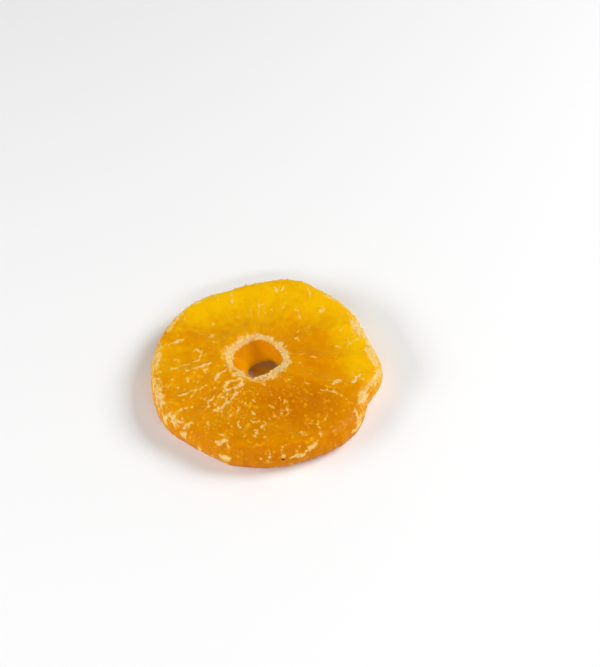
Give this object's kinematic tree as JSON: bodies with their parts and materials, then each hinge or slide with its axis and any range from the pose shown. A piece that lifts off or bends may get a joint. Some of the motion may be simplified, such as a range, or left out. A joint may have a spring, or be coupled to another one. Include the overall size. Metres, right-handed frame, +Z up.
{
  "type": "candied pineapple ring",
  "caption": "Dried, candied slice of pineapple lying flat: a lobed disc with radial folds, a sugared rim and a core hole through its middle.",
  "frame": {"origin": "under the middle of the ring's bounding box, on the surface that it rests on", "axes": "+Z up through the ring's thickness, +Y away from the viewer of the picture, +X to that viewer's right"},
  "size_m": [0.0682, 0.0666, 0.0102],
  "materials": {
    "candied_flesh": "amber translucent candied fruit, satin and slightly sticky, with pale sugar crust"
  },
  "bodies": {
    "root": {"pineapple_ring": "candied_flesh"}
  },
  "joints": []
}
